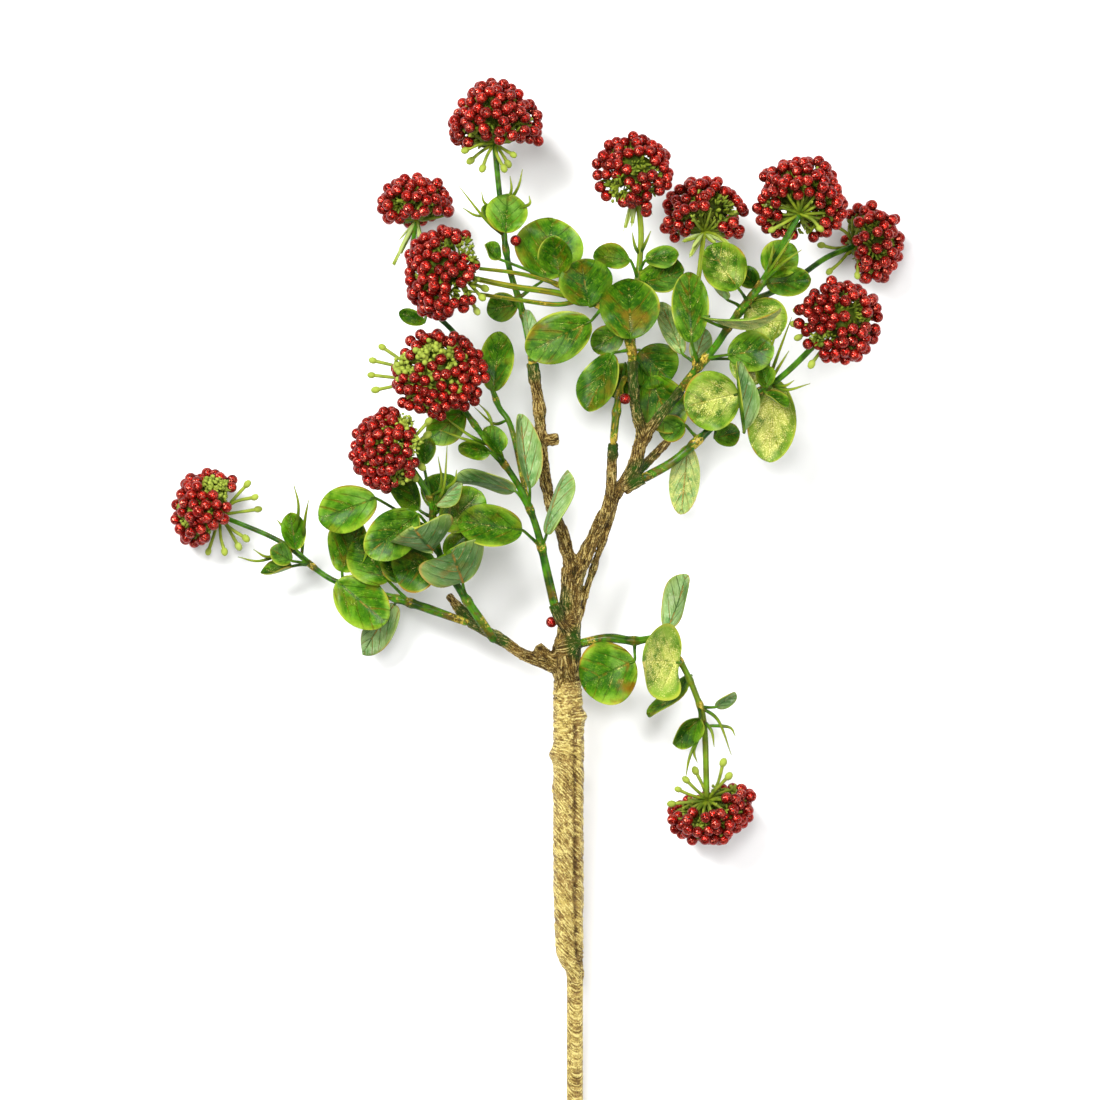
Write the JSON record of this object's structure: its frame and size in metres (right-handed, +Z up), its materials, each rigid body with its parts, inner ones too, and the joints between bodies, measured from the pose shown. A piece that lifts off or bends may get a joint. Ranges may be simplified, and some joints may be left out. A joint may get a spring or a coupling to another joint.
{
  "type": "artificial berry spray",
  "caption": "Cut artificial branch lying flat: gold-brushed bark stem, round green leaves and domed umbels of shiny deep red berries.",
  "frame": {"origin": "middle of the bounding box, on the table it lies on", "axes": "+Y along the main stem from its cut end to the flower heads, +Z up off the table"},
  "size_m": [0.2784, 0.434, 0.0812],
  "materials": {
    "tape": "gold brushed over brown, satin",
    "bark": "dark brown with gold brushed on the raised ridges",
    "leaf": "glossy green mottled to yellow-green, gold rims",
    "berry": "pearly metallic red"
  },
  "bodies": {
    "root": {"stem_foot": "tape", "taped_trunk": "tape", "bark_branches": "bark", "spray_far_left": "leaf", "spray_left_front": "leaf", "spray_left_middle": "leaf", "spray_top_left": "leaf", "spray_centre": "leaf", "spray_right": "leaf", "spray_right_front": "leaf", "spray_stub": "leaf", "spray_low_right": "leaf", "head_top_left": "berry", "head_upper_left": "berry", "head_left_third": "berry", "head_left_fourth": "berry", "head_left_fifth": "berry", "head_far_left": "berry", "head_top_centre": "berry", "head_centre_right": "berry", "head_top_right": "berry", "head_right_edge": "berry", "head_right_front": "berry", "head_low_right": "berry", "stray_bead_1": "berry", "stray_bead_2": "berry", "stray_bead_3": "berry"}
  },
  "joints": []
}
